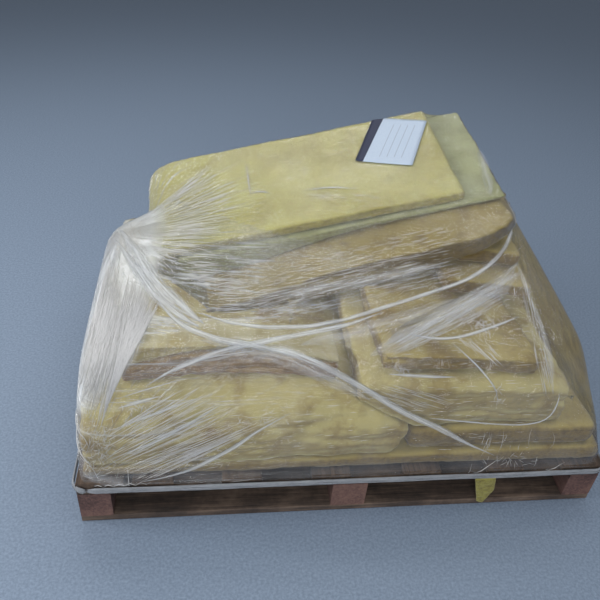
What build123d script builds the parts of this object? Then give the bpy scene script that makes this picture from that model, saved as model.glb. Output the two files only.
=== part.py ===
"""A wooden pallet piled with soft glass wool slabs and wrapped in stretch film.

Millimetres, +Z up.  The origin is the middle of the pallet's underside: +X runs
to the right along the 1200 mm front, +Y runs back, and the pile rises along +Z.

Glass wool is soft, so its slabs sag, fold and drape over each other.  A layer of
the pile is drawn in the front view, between the height line of what it lies on and
a height line of its own, which the next slab then lies on.  The wrapped bundle on
top is drawn in the same way in a tilted frame of its own.
"""

from build123d import *
from math import radians, tan
import os

# Pallet sizes
pallet_length = 1200
pallet_width = 800
board_thickness = 18
block_height = 76
outer_block_width = 70
middle_block_width = 80
block_depth = 100
outer_board_width = 100
inner_board_width = 88
board_edge_break = 2
# Middles of the inner deck boards, as shares of half the pallet's length
inner_board_places = (-0.73, -0.41, -0.08, 0.27, 0.60)

# Glass wool sizes
wool_thickness = 46
wool_inset = 10
seat_gap = 0.4
# The share of the shorter run that each bend of a slab takes up
bend_share = 0.45
# The most of an end's thickness that its rounding takes up
soft_share = 0.35

# Stretch film, rope and paper sizes
film_thickness = 1.0
film_gap = 0.6
rope_radius = 5
paper_length = 210
paper_width = 148
paper_thickness = 0.5

# Heights and places worked out from the pallet
stringer_base = board_thickness + block_height
deck_base = stringer_base + board_thickness
deck_top = deck_base + board_thickness
half_length = pallet_length / 2
half_width = pallet_width / 2
pile_half_length = half_length - wool_inset
pile_front = -half_width + wool_inset
pile_back = half_width - wool_inset

parts = {}


def keep(solid, label):
    """Name a finished piece and put it with the others."""
    solid.label = label
    parts[label] = solid


# Pallet boards and blocks
def board(length, width, height, x, y, base):
    """One sawn board or block with its long edges broken."""
    with BuildPart(Plane.XY.offset(base)) as piece:
        with Locations((x, y)):
            Box(length, width, height, align=(Align.CENTER, Align.CENTER, Align.MIN))
        long_axis = Axis.X if length > width else Axis.Y
        chamfer(piece.edges().filter_by(long_axis), board_edge_break)
    return piece.part


row_places = {
    "front": -half_width + block_depth / 2,
    "middle": 0,
    "back": half_width - block_depth / 2,
}
column_places = {
    "left": (-half_length + outer_block_width / 2, outer_block_width),
    "centre": (0, middle_block_width),
    "right": (half_length - outer_block_width / 2, outer_block_width),
}

for row, y in row_places.items():
    keep(board(pallet_length, block_depth, board_thickness, 0, y, 0), f"bottom_board_{row}")
    keep(
        board(pallet_length, block_depth, board_thickness, 0, y, stringer_base),
        f"stringer_board_{row}",
    )
    for column, (x, width) in column_places.items():
        keep(
            board(width, block_depth, block_height, x, y, board_thickness),
            f"block_{row}_{column}",
        )

outer_board_place = half_length - outer_board_width / 2
deck_boards = [(-outer_board_place, outer_board_width)]
deck_boards += [(share * half_length, inner_board_width) for share in inner_board_places]
deck_boards += [(outer_board_place, outer_board_width)]
for number, (x, width) in enumerate(deck_boards, start=1):
    keep(board(width, pallet_width, board_thickness, x, 0, deck_base), f"deck_board_{number}")


# Slabs drawn between two height lines
def raised(line, rise):
    """A height line moved up, or down where the rise is negative."""
    return [(place, height + rise) for place, height in line]


def bend_radii(line):
    """The radius of each bend of a height line, as large as its two runs allow."""
    radii = []
    for before, corner, after in zip(line, line[1:], line[2:]):
        run_in = Vector(*corner) - Vector(*before)
        run_out = Vector(*after) - Vector(*corner)
        half_turn = radians(run_in.get_angle(run_out)) / 2
        radii.append(bend_share * min(run_in.length, run_out.length) / tan(half_turn))
    return radii


def soft_line(line):
    """A height line as straight runs joined by large arcs."""
    if len(line) == 2:
        return Line(*line)
    return FilletPolyline(*line, radius=bend_radii(line))


def band(lower, upper):
    """The closed outline between two height lines."""
    with BuildLine() as outline:
        low = soft_line(lower)
        high = soft_line(upper)
        Line(low @ 1, high @ 1)
        Line(low @ 0, high @ 0)
    return outline.line


def slab_between(plane, lower, upper, start, end, depth, rounding):
    """A slab between two lines, cut to its length, with soft ends and front.

    The plane stands at the slab's front and faces the viewer, and its x axis runs
    along the slab.  The rounding is the radius of the ends' edges, or less where an
    end is thin, and the front is broken by a share of it.
    """
    along_depth = Axis(plane.origin, plane.z_dir)
    along_slab = Axis(plane.origin, plane.x_dir)
    tall = 4 * half_length
    with BuildPart() as slab:
        with BuildSketch(plane):
            make_face(band(lower, upper))
            with Locations(((start + end) / 2, 0)):
                Rectangle(end - start, tall, mode=Mode.INTERSECT)
        extrude(amount=-depth)
        edges = slab.edges().filter_by(along_depth).sort_by(along_slab)
        thinnest = min(edges[0].distance_to(edges[1]), edges[-1].distance_to(edges[-2]))
        soft = min(rounding, soft_share * thinnest)
        fillet(edges[:2] + edges[-2:], soft)
        chamfer(slab.edges().group_by(along_depth)[-1], soft * 0.6)
    return slab.part


# Lower pile, drawn from the front
def front_line(*points):
    """A height line: shares of the pile's half length, heights over the deck."""
    return [(share * pile_half_length, deck_top + height) for share, height in points]


def front_slab(label, lower, upper, start, end, front, back, rounding):
    """A slab of the lower pile, from a share of the half length to another."""
    solid = slab_between(
        Plane.XZ.offset(-front),
        raised(lower, seat_gap),
        upper,
        start * pile_half_length,
        end * pile_half_length,
        back - front,
        rounding,
    )
    keep(solid, label)


deck_line = front_line((-1.1, 0), (1.1, 0))
bottom_top = front_line((-1.1, 33), (-0.4, 36), (0.4, 46), (1.1, 48))
second_top = front_line((-1.1, 84), (-0.1, 92), (0.3, 117), (1.1, 110))
drape_top = front_line((-1.1, 180), (-0.82, 212), (-0.56, 228), (-0.08, 220), (0.24, 104))
drape_under = raised(drape_top, -wool_thickness)
folded_top = front_line((-0.2, 256), (0.2, 250), (0.62, 239), (1, 196))
upper_top = raised(folded_top, wool_thickness)
torn_top = front_line((-1.1, 226), (-0.82, 250), (-0.64, 287), (-0.42, 296), (0.05, 236))
offcut_top = front_line((-1.1, 308), (-0.62, 310), (-0.34, 301), (0.05, 248))

front_slab("slab_bottom", deck_line, bottom_top, -1, 1, pile_front, pile_back, 13)
front_slab("slab_right_second", bottom_top, second_top, 0.195, 0.95, pile_front + 8, pile_back - 4, 15)

# The draped slab lies on the left of the pile and hangs over its front edge
drape_back = half_width / 4
drape_start = -0.98
drape_end = 0.055
drape_end_lean = 0.35


def drape_side(set_back):
    """The side view of the draped slab's outer face, or of one set back inside it."""
    front = pile_front + 5 + set_back
    with BuildSketch(Plane.YZ.offset(-half_length)) as side:
        with BuildLine():
            nose_line = [
                (front, deck_top),
                (front - 8, deck_top + 95 - set_back),
                (front + 20, deck_top + 185 - set_back),
                (front + 120, deck_top + 248 - set_back),
            ]
            nose = FilletPolyline(*nose_line, radius=bend_radii(nose_line))
            Polyline(
                nose @ 1,
                (front + 120, deck_top + half_width),
                (pile_back, deck_top + half_width),
                (pile_back, deck_top),
                nose @ 0,
            )
        make_face()
    return side.sketch


def drape_volume(upper, set_back, start, end, back):
    """What lies under a line, over the bottom slab and behind the draped front."""
    with BuildPart() as volume:
        with BuildSketch(Plane.XZ.offset(half_width)):
            make_face(band([upper[0][:1] + (0,), upper[-1][:1] + (0,)], upper))
            make_face(
                band(raised(bottom_top, seat_gap), raised(bottom_top, half_length)),
                mode=Mode.INTERSECT,
            )
            with BuildLine():
                Polyline(
                    (start * pile_half_length, 0),
                    (end * pile_half_length, 0),
                    (end * pile_half_length + drape_end_lean * half_length, half_length),
                    (start * pile_half_length, half_length),
                    close=True,
                )
            make_face(mode=Mode.INTERSECT)
        extrude(amount=-half_width - back)
        extrude(drape_side(set_back), amount=2 * half_length, mode=Mode.INTERSECT)
    return volume.part


# Slabs under the drape and behind it
under_drape = drape_volume(
    raised(drape_under, -seat_gap), wool_thickness + seat_gap, -0.96, drape_end, pile_back
)
for label, lower, upper, end in (
    ("slab_left_second", bottom_top, second_top, -0.02),
    ("slab_left_third", second_top, raised(drape_top, wool_thickness), -0.2),
):
    with BuildPart() as layer:
        with BuildSketch(Plane.XZ.offset(half_width)):
            make_face(band(raised(lower, seat_gap), upper))
            with Locations(((end - 1.5) / 2 * pile_half_length, 0)):
                Rectangle((end + 1.5) * pile_half_length, 4 * half_length, mode=Mode.INTERSECT)
        extrude(amount=-2 * half_width)
        add(under_drape, mode=Mode.INTERSECT)
    keep(layer.part, label)

# A thick slab folded double, with its fold at the front, beside the drape
folded_front = pile_front + 18
fold_wall = 60
fold_slit = 2
nose_radius = 28
with BuildPart() as folded_slab:
    with BuildSketch(Plane.XZ.offset(-folded_front)):
        make_face(band(raised(second_top, seat_gap), folded_top))
        make_face(
            band([(drape_top[0][0], 0), (drape_top[-1][0], 0)], raised(drape_top, seat_gap)),
            mode=Mode.SUBTRACT,
        )
        with Locations((0.39 * pile_half_length, 0)):
            Rectangle(0.82 * pile_half_length, 4 * half_length, mode=Mode.INTERSECT)
    extrude(amount=folded_front - pile_back)
    nose_edges = folded_slab.edges().group_by(Axis.Y)[0].sort_by(Axis.Z)
    fillet(nose_edges[-1], nose_radius)
    with BuildSketch(Plane.XZ.offset(-folded_front - fold_wall)):
        make_face(band(raised(second_top, wool_thickness), raised(second_top, wool_thickness + fold_slit)))
        with Locations((0.7 * pile_half_length, 0)):
            Rectangle(0.9 * pile_half_length, 4 * half_length, mode=Mode.INTERSECT)
    extrude(amount=-2 * half_width, mode=Mode.SUBTRACT)
keep(folded_slab.part, "slab_right_folded")


# The tilted bundle on top, in a frame whose x axis runs along the slabs
bundle_rise = 0.243
bundle_lean = 0.141
bundle_middle = Vector(0, 0.5375 * half_width, deck_top + 445)
bundle_top = Plane(
    origin=bundle_middle, x_dir=(1, 0, bundle_rise), z_dir=(-bundle_rise, -bundle_lean, 1)
)


def bundle_plane(place):
    """The bundle's own front view, at a distance behind its middle."""
    return Plane(
        origin=bundle_middle + bundle_top.y_dir * place,
        x_dir=bundle_top.x_dir,
        z_dir=-bundle_top.y_dir,
    )


def bundle_line(*points):
    """A line in the bundle's view: shares of half the pallet's length, heights."""
    return [(share * half_length, height) for share, height in points]


top_thickness = 28
top_near = -0.4875 * half_width
top_far = 0.4875 * half_width
top_end = 0.478 * half_length
bend_start = -0.69 * half_length
bend_radius = 118
bend_angle = 52

with BuildPart() as top_slab:
    with BuildSketch(bundle_plane(top_near)):
        with BuildLine():
            outer = Line((top_end, 0), (bend_start, 0))
            outer_arc = JernArc(outer @ 1, outer % 1, bend_radius, bend_angle)
            inner = Line((top_end, -top_thickness), (bend_start, -top_thickness))
            inner_arc = JernArc(inner @ 1, inner % 1, bend_radius - top_thickness, bend_angle)
            Line(outer_arc @ 1, inner_arc @ 1)
            Line(outer @ 0, inner @ 0)
        make_face()
    extrude(amount=top_near - top_far)
    across_bundle = Axis(bundle_middle, bundle_top.y_dir)
    fillet(top_slab.edges().filter_by(across_bundle).sort_by(Axis.X)[-2:], soft_share * top_thickness)
keep(top_slab.part, "slab_top")

second_near = -0.51 * half_width
second_far = 0.5 * half_width
second_start = -0.7 * half_length
second_end = 0.64 * half_length
green_top = bundle_line((-1, -top_thickness), (1, -top_thickness))
green_under = bundle_line((-1, -74), (-0.66, -106), (-0.42, -90), (-0.04, -52), (0.34, -42), (1, -42))
golden_under = bundle_line(
    (-1, -88), (-0.86, -90), (-0.6, -128), (-0.1, -140), (0.15, -130), (0.42, -100), (1, -74)
)
keep(
    slab_between(
        bundle_plane(second_near),
        green_under,
        raised(green_top, -seat_gap),
        second_start,
        second_end,
        second_far - second_near,
        12,
    ),
    "slab_bundle_second",
)

golden_near = -0.79 * half_width
golden_far = 0.425 * half_width
golden_start = -0.62 * half_length
golden_end = 0.7 * half_length
golden_bend = 150
# How far the golden slab's end leans out, from its top edge to its foot
golden_lean = 46


def bundle_plan(start, far, clear):
    """The golden slab's outline from above, carried on to a start and a far side.

    Its right end is bent round at the front.
    """
    near = golden_near - clear
    end = golden_end + clear
    with BuildSketch(bundle_top) as plan:
        with BuildLine():
            bend = TangentArc(
                (end - golden_bend, near), (end, near + golden_bend), tangent=(1, 0)
            )
            Polyline(bend @ 1, (end, far), (start, far), (start, near), bend @ 0)
        make_face()
    return plan.sketch


golden_fold = bundle_line((-0.3, -108), (-0.1, -98), (0.15, -88), (0.42, -72), (0.6, -68))
with BuildPart() as golden:
    with BuildSketch(bundle_plane(golden_near)):
        make_face(band(golden_under, raised(green_under, -seat_gap)))
        with BuildLine():
            Polyline(
                (golden_start, -half_length),
                (golden_end, -half_length),
                (golden_end, golden_under[-2][1]),
                (golden_end - golden_lean, green_under[-1][1]),
                (golden_start, 0),
                close=True,
            )
        make_face(mode=Mode.INTERSECT)
    extrude(amount=golden_near - golden_far)
    extrude(bundle_plan(golden_start, golden_far, 0), amount=-half_length, mode=Mode.INTERSECT)
    with BuildSketch(bundle_plane(golden_near - 1)):
        make_face(band(golden_fold, raised(golden_fold, fold_slit)))
    extrude(amount=golden_near - golden_far - 2, mode=Mode.SUBTRACT)
keep(golden.part, "slab_bundle_folded")


def bundle_envelope(clear):
    """The bundle's outline in its three views, at a distance outside its slabs."""
    side = golden_end + clear
    shoulder = green_under[-1][1]
    second_foot = min(height for place, height in green_under) - clear
    far_below = -2 * bend_radius
    with BuildPart() as envelope:
        with BuildSketch(bundle_plane(golden_near - clear)):
            make_face(band(raised(golden_under, -clear), raised(green_top, 2 * bend_radius)))
            with BuildLine():
                Polyline(
                    (side, far_below),
                    (side, golden_under[-2][1]),
                    (second_end + clear, clear - top_thickness),
                    (top_end + clear, clear),
                    (bend_start, clear),
                )
                end_arc = JernArc((bend_start, clear), (-1, 0), bend_radius + clear, 90)
                left_foot = (bend_start - bend_radius - clear, far_below)
                Polyline(end_arc @ 1, left_foot, (side, far_below))
            make_face(mode=Mode.INTERSECT)
        extrude(amount=golden_near - second_far - 2 * clear)
        end_view = Plane(
            origin=bundle_middle - bundle_top.x_dir * 2 * half_length,
            x_dir=bundle_top.y_dir,
            z_dir=bundle_top.x_dir,
        )
        with BuildSketch(end_view):
            with BuildLine():
                Polyline(
                    (top_near - clear, clear),
                    (golden_near - clear, shoulder),
                    (golden_near - clear, far_below),
                    (golden_far + clear, far_below),
                    (second_far + clear, second_foot),
                    (second_far + clear, clear),
                    close=True,
                )
            make_face()
        extrude(amount=4 * half_length, mode=Mode.INTERSECT)
        extrude(
            bundle_plan(-2 * half_length, half_width, clear),
            amount=half_length,
            both=True,
            mode=Mode.INTERSECT,
        )
    return envelope.part


with BuildPart() as bundle_film:
    add(bundle_envelope(film_gap + film_thickness))
    add(bundle_envelope(film_gap), mode=Mode.SUBTRACT)
keep(bundle_film.part, "film_bundle_wrap")

# Slabs that carry the bundle or lean on it, pressed in by the underside of its film
bundle_seat = bundle_envelope(2 * film_gap + film_thickness)
with BuildPart() as draped_slab:
    add(drape_volume(drape_top, 0, drape_start, drape_end, drape_back))
    add(
        drape_volume(drape_under, wool_thickness, -1.05, drape_end + 0.05, drape_back + 1),
        mode=Mode.SUBTRACT,
    )
    add(bundle_seat, mode=Mode.SUBTRACT)
keep(draped_slab.part, "slab_front_draped")

wedge_back = -0.535 * half_width
prop_rounding = 10
for label, lower, upper, start, end, front, back in (
    ("slab_left_back", drape_under, drape_top, -0.97, 0.1, drape_back + 1, pile_back - 2),
    ("slab_left_torn", drape_top, torn_top, -0.84, -0.07, pile_front + 70, wedge_back),
    ("slab_left_offcut", torn_top, offcut_top, -0.82, -0.07, pile_front + 74, wedge_back),
    (
        "slab_prop_left",
        drape_top,
        raised(drape_top, wool_thickness),
        -0.78,
        -0.1,
        -0.1 * half_width,
        pile_back - 14,
    ),
    ("slab_right_upper", folded_top, upper_top, 0.06, 0.66, pile_front + 44, pile_back - 10),
    (
        "slab_prop_right_first",
        upper_top,
        raised(upper_top, wool_thickness),
        0.38,
        0.76,
        -0.32 * half_width,
        pile_back - 6,
    ),
    (
        "slab_prop_right_second",
        raised(upper_top, wool_thickness),
        raised(upper_top, 2 * wool_thickness),
        0.45,
        0.73,
        -0.15 * half_width,
        pile_back - 22,
    ),
    (
        "slab_prop_right_third",
        raised(upper_top, 2 * wool_thickness),
        raised(upper_top, 3 * wool_thickness),
        0.56,
        0.74,
        0.1 * half_width,
        pile_back - 12,
    ),
):
    with BuildPart() as trimmed:
        add(
            slab_between(
                Plane.XZ.offset(-front),
                raised(lower, seat_gap),
                upper,
                start * pile_half_length,
                end * pile_half_length,
                back - front,
                prop_rounding,
            )
        )
        add(bundle_seat, mode=Mode.SUBTRACT)
    keep(trimmed.part, label)


# Stretch film round the pallet's deck and the pile, creased into flat facets
def film_ring(plane, left, right, front, back, corner, bend, clear):
    """The corners of one eight-sided outline of the film, at a distance outside the load.

    The bend is the size of its right front corner, and the corner that of the others.
    """
    left, right = left - clear, right + clear
    front, back = front - clear, back + clear
    corners = (
        (left + corner, front),
        (right - bend, front),
        (right, front + bend),
        (right, back - corner),
        (right - corner, back),
        (left + corner, back),
        (left, back - corner),
        (left, front + corner),
    )
    return [plane.from_local_coords(place) for place in corners]


# Each level of the film: height over the deck, left, right, front, back, corner and bend
film_foot = -26
film_levels = (
    (film_foot, -half_length, half_length, -half_width, half_width, 0.2, 0.2),
    (2, -half_length, half_length, -half_width, half_width, 0.2, 0.2),
    (60, -half_length - 1, half_length - 2, -half_width, half_width, 8, 8),
    (120, -half_length - 2, half_length - 25, -half_width - 1, half_width + 3, 16, 20),
    (170, -half_length - 2, half_length - 54, pile_front - 4, half_width + 10, 20, 30),
    (236, -half_length + 8, half_length - 82, pile_front + 13, half_width + 27, 22, 36),
    (306, -half_length + 24, half_length - 98, pile_front + 38, half_width + 36, 22, 44),
    (326, -half_length + 26, half_length - 112, wedge_back + 4, half_width + 37, 12, 60),
)
# The tilted rim of the film, round the bundle's foot
rim_rise = 0.12
rim_lean = 0.13
rim_plane = Plane(
    origin=(0, bundle_middle.Y, deck_top + 360),
    x_dir=(1, 0, rim_rise),
    z_dir=(-rim_rise, -rim_lean, 1),
)
rim_outline = (bend_start - bend_radius, golden_end + 35, golden_near + 4, second_far + 21, 6, 70)
# How far an outline moves up for each step outside the load
lift = 2


def film_form(clear, *rims):
    """The film's form, from its foot through all its levels to its rim.

    Each rim is drawn at its own distance over the rim's plane.
    """
    rings = []
    for height, *outline in film_levels:
        rise = 0 if height == film_foot else lift * clear
        rings.append(film_ring(Plane.XY.offset(deck_top + height + rise), *outline, clear))
    for rim in rims:
        rings.append(film_ring(rim_plane.offset(rim + lift * clear), *rim_outline, clear))
    outlines = [rings[0], rings[-1]]
    for low, high in zip(rings, rings[1:]):
        for side in range(len(low)):
            outlines.append([low[side - 1], low[side], high[side]])
            outlines.append([low[side - 1], high[side], high[side - 1]])
    return Solid(Shell([Face(Wire.make_polygon(outline)) for outline in outlines]))


with BuildPart() as load_film:
    add(film_form(film_gap + film_thickness, 0))
    add(film_form(film_gap, 0, 2 * lift * film_thickness), mode=Mode.SUBTRACT)
keep(load_film.part, "film_load_wrap")

# The film's lower edge, gathered into a rope round the deck
rope_reach = film_gap + film_thickness + seat_gap + rope_radius
rope_height = deck_top + film_foot + rope_radius + 6
with BuildSketch(Plane.XY.offset(rope_height)) as rope_ring:
    RectangleRounded(
        pallet_length + 2 * rope_reach, pallet_width + 2 * rope_reach, rope_reach
    )
rope_path = rope_ring.sketch.face().outer_wire()
with BuildPart() as film_rope:
    with BuildSketch(Plane(rope_path @ 0, z_dir=rope_path % 0)):
        Circle(rope_radius)
    sweep(path=rope_path)
keep(film_rope.part, "film_rope_deck")

# The paper on the top slab, under the film
paper_place = (166, 66)
paper_turn = -25
with BuildPart() as paper:
    with BuildSketch(bundle_top):
        with Locations(Location((*paper_place, 0), (0, 0, paper_turn))):
            Rectangle(paper_width, paper_length)
    extrude(amount=paper_thickness)
keep(paper.part, "paper_sheet")

# A torn scrap of wool that hangs at the pallet's front
scrap_thickness = 6
scrap_place = half_length * 0.53
with BuildPart() as scrap:
    with BuildSketch(Plane.XZ.offset(half_width + seat_gap)):
        with BuildLine():
            Polyline(
                (scrap_place - 27, stringer_base + 5),
                (scrap_place + 25, stringer_base + 5),
                (scrap_place + 31, 56),
                (scrap_place + 12, 8),
                (scrap_place - 4, 14),
                (scrap_place - 14, 52),
                close=True,
            )
        make_face()
    extrude(amount=scrap_thickness)
keep(scrap.part, "wool_scrap")

os.makedirs("parts", exist_ok=True)
for label, solid in parts.items():
    export_step(solid, f"parts/{label}.step")
print(f"{len(parts)} pieces")
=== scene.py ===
# %% [markdown]
# # A wrapped pallet load of glass wool
# A wooden pallet carries a pile of soft, yellow glass wool slabs. Some are folded or draped over
# the ones below, and a bundle of three lies tilted on top. Clear stretch film holds it all.
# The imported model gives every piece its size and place. Here each piece gets its looks: soft wool
# forms, weathered wood, and the film as thin sheets pulled tight over the wool.

# %% Load the frame
import math
import random

import bmesh
import bpy
import numpy as np
from mathutils import Matrix, Vector, noise
from mathutils.bvhtree import BVHTree


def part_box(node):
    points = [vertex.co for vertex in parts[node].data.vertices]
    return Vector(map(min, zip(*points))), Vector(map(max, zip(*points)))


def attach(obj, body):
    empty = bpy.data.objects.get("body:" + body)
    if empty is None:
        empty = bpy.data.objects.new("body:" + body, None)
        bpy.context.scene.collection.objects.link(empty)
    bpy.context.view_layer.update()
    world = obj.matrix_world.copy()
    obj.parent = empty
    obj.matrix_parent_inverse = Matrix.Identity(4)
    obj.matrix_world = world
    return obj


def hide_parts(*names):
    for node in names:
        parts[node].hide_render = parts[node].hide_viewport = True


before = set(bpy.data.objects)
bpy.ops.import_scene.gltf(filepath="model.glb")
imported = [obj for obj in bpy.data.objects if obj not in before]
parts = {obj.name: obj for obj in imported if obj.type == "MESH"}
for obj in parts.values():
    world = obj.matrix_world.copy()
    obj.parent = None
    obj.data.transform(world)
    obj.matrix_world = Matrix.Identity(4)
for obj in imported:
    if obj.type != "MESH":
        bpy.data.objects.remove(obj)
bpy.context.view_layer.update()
print("CAD nodes:", len(parts))

# %% [markdown]
# ## The view
# The photograph looks down on the load from head height, a little from the left and with the
# camera tilted sideways. The camera stands where lines of the pallet and of the floor meet their
# places in the photograph.

# %% Camera
FRAME_PIXELS = 600
FOCAL_PIXELS = 655.289
CAMERA_PLACE = Vector((-0.298, -1.313, 1.306))
PITCH_DOWN = math.radians(36.699)
ROLL = math.radians(5.101)
YAW_RIGHT = math.radians(8.976)
SENSOR_MM = 36

look = Vector((math.sin(YAW_RIGHT) * math.cos(PITCH_DOWN), math.cos(YAW_RIGHT) * math.cos(PITCH_DOWN),
               -math.sin(PITCH_DOWN)))
level_right = Vector((math.cos(YAW_RIGHT), -math.sin(YAW_RIGHT), 0))
level_up = level_right.cross(look)
view_right = math.cos(ROLL) * level_right + math.sin(ROLL) * level_up
view_up = math.cos(ROLL) * level_up - math.sin(ROLL) * level_right

camera_data = bpy.data.cameras.new("camera")
camera_data.sensor_width = SENSOR_MM
camera_data.lens = FOCAL_PIXELS / FRAME_PIXELS * SENSOR_MM
camera = bpy.data.objects.new("camera", camera_data)
bpy.context.scene.collection.objects.link(camera)
turn = Matrix((view_right, view_up, -look)).transposed()
camera.matrix_world = Matrix.Translation(CAMERA_PLACE) @ turn.to_4x4()
bpy.context.scene.camera = camera
print("lens", round(camera_data.lens, 2), "mm")


def sight(pixel):
    """The direction from the camera through a pixel of the photograph."""
    across = float(pixel[0] - FRAME_PIXELS / 2) / FOCAL_PIXELS
    down = float(pixel[1] - FRAME_PIXELS / 2) / FOCAL_PIXELS
    return (look + across * view_right - down * view_up).normalized()


# %% [markdown]
# ## Helpers
# Colours are written as sRGB hex values, as a paint chart gives them, and Blender's shaders work
# in linear light, so one function converts them. A second one adds a shader node with its
# settings and links.

# %% Colour and node helpers
MM = 0.001


def linear(hex_colour):
    """An sRGB hex colour as linear red, green, blue and alpha."""
    shares = [int(hex_colour[i:i + 2], 16) / 255 for i in (1, 3, 5)]
    return [s / 12.92 if s <= 0.04045 else ((s + 0.055) / 1.055) ** 2.4 for s in shares] + [1]


def add(tree, kind, inputs=None, **settings):
    """Adds a shader node with its settings, and fills or links its inputs."""
    made = tree.nodes.new("ShaderNode" + kind)
    for name, value in settings.items():
        setattr(made, name, value)
    for name, value in (inputs or {}).items():
        if isinstance(value, bpy.types.NodeSocket):
            tree.links.new(value, made.inputs[name])
        else:
            made.inputs[name].default_value = value
    return made


def maths(tree, operation, *values):
    """The result of one sum on values or sockets."""
    return add(tree, "Math", dict(enumerate(values)), operation=operation).outputs[0]


def clouds(tree, place, size_mm, detail=4, rough=0.6, bend=0.0):
    """Cloudy noise whose lumps are about this size."""
    return add(tree, "TexNoise", {"Vector": place, "Scale": 1 / (size_mm * MM), "Detail": detail,
                                  "Roughness": rough, "Distortion": bend}).outputs["Fac"]


def ramp(tree, value, *stops):
    """A colour ramp: pairs of a place and a hex colour or a grey level."""
    made = add(tree, "ValToRGB", {"Fac": value})
    elements = made.color_ramp.elements
    while len(elements) < len(stops):
        elements.new(0.5)
    for element, (place, colour) in zip(elements, stops):
        element.position = place
        element.color = linear(colour) if isinstance(colour, str) else (colour, colour, colour, 1)
    return made.outputs["Color"]


def new_material(name):
    """An empty material's tree, its Object coordinates and its output."""
    material = bpy.data.materials.new(name)
    material.use_nodes = True
    tree = material.node_tree
    tree.nodes.clear()
    place = add(tree, "TexCoord").outputs["Object"]
    return material, tree, place, add(tree, "OutputMaterial")


# %% Mesh helpers
def only(*objects):
    """Selects these objects and nothing else."""
    if bpy.context.mode != "OBJECT":
        bpy.ops.object.mode_set(mode="OBJECT")
    bpy.ops.object.select_all(action="DESELECT")
    for o in objects:
        o.select_set(True)
    bpy.context.view_layer.objects.active = objects[0]


def apply_all(piece):
    """Applies a piece's modifiers in their order."""
    only(piece)
    for modifier in list(piece.modifiers):
        bpy.ops.object.modifier_apply(modifier=modifier.name)


def twin_of(name, objects):
    """One object with copies of the meshes of others."""
    copies = []
    for o in objects:
        twin = bpy.data.objects.new(name, o.data.copy())
        bpy.context.scene.collection.objects.link(twin)
        copies.append(twin)
    only(*copies)
    if len(copies) > 1:
        bpy.ops.object.join()
    return bpy.context.view_layer.objects.active


def finish(piece, material, node=None):
    """Gives a piece its material, hides the imported part that it replaces, and hangs it under the root."""
    only(piece)
    bpy.ops.object.shade_smooth()
    piece.data.materials.clear()
    piece.data.materials.append(material)
    if node:
        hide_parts(node)
    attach(piece, "root")
    print(piece.name, "faces", len(piece.data.polygons))


# %% [markdown]
# ## Glass wool
# Glass wool is spun from molten glass and set with a yellow resin, in thin layers that lie flat
# in the slab. The broad faces are felted, pale and mottled. The cut edges show the layers and
# look darker, because light sinks in between the fibres. The shader asks how far a face's normal
# leans from the slab's own upright: broad faces take the pale colour, edges take the deep one
# with fine lines.

# %% Glass wool material
BUNDLE_UP = Vector((-0.243, -0.141, 1)).normalized()
TUFT_SHARE = 0.22
LINE_MM = 4
LINE_WANDER = 0.02


def wool(name, pale, mid, deep, up=(0, 0, 1), edge_from=0.55, mottle_mm=90, mottle=0.5):
    """Glass wool with its felted faces, mottling and layered edges."""
    material, tree, place, output = new_material(name)
    # Clouds of thicker and thinner wool, as the felt lets more or less light in
    broad = clouds(tree, place, mottle_mm, 3, 0.5, 0.4)
    tufts = clouds(tree, place, 11, 4, 0.7)
    fluff = maths(tree, "MULTIPLY_ADD", tufts, TUFT_SHARE,
                  maths(tree, "MULTIPLY", broad, 1 - TUFT_SHARE))
    face = ramp(tree, fluff, (0.5 - 0.22 * mottle, mid), (0.5 + 0.16 * (1 - mottle), pale))
    # Layers that wander a little along the edge
    across = add(tree, "VectorMath", {0: place, 1: up}, operation="DOT_PRODUCT").outputs["Value"]
    wander = clouds(tree, place, 60, 3)
    bent = maths(tree, "MULTIPLY_ADD", wander, LINE_WANDER, across)
    layers = clouds(tree, add(tree, "CombineXYZ", {"Z": bent}).outputs[0], LINE_MM, 4)
    edge = ramp(tree, maths(tree, "MULTIPLY", layers, tufts), (0.13, deep), (0.3, mid))
    normal = add(tree, "NewGeometry").outputs["Normal"]
    lean = add(tree, "VectorMath", {0: normal, 1: up}, operation="DOT_PRODUCT").outputs["Value"]
    soft = add(tree, "MapRange", {"Value": maths(tree, "ABSOLUTE", lean), "From Min": edge_from - 0.3,
                                  "From Max": edge_from + 0.2}).outputs["Result"]
    colour = add(tree, "MixRGB", {"Fac": soft, "Color1": edge, "Color2": face}).outputs["Color"]
    fibres = clouds(tree, place, 2.4, 6, 0.75, 1.2)
    relief = maths(tree, "MULTIPLY_ADD", tufts, 2.0, fibres)
    bump = add(tree, "Bump", {"Height": relief, "Strength": 0.8, "Distance": 1.5 * MM}).outputs["Normal"]
    shader = add(tree, "BsdfPrincipled", {"Base Color": colour, "Roughness": 0.95, "Normal": bump,
                                          "Sheen Weight": 0.2, "Sheen Roughness": 0.6})
    tree.links.new(shader.outputs[0], output.inputs["Surface"])
    return material


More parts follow.
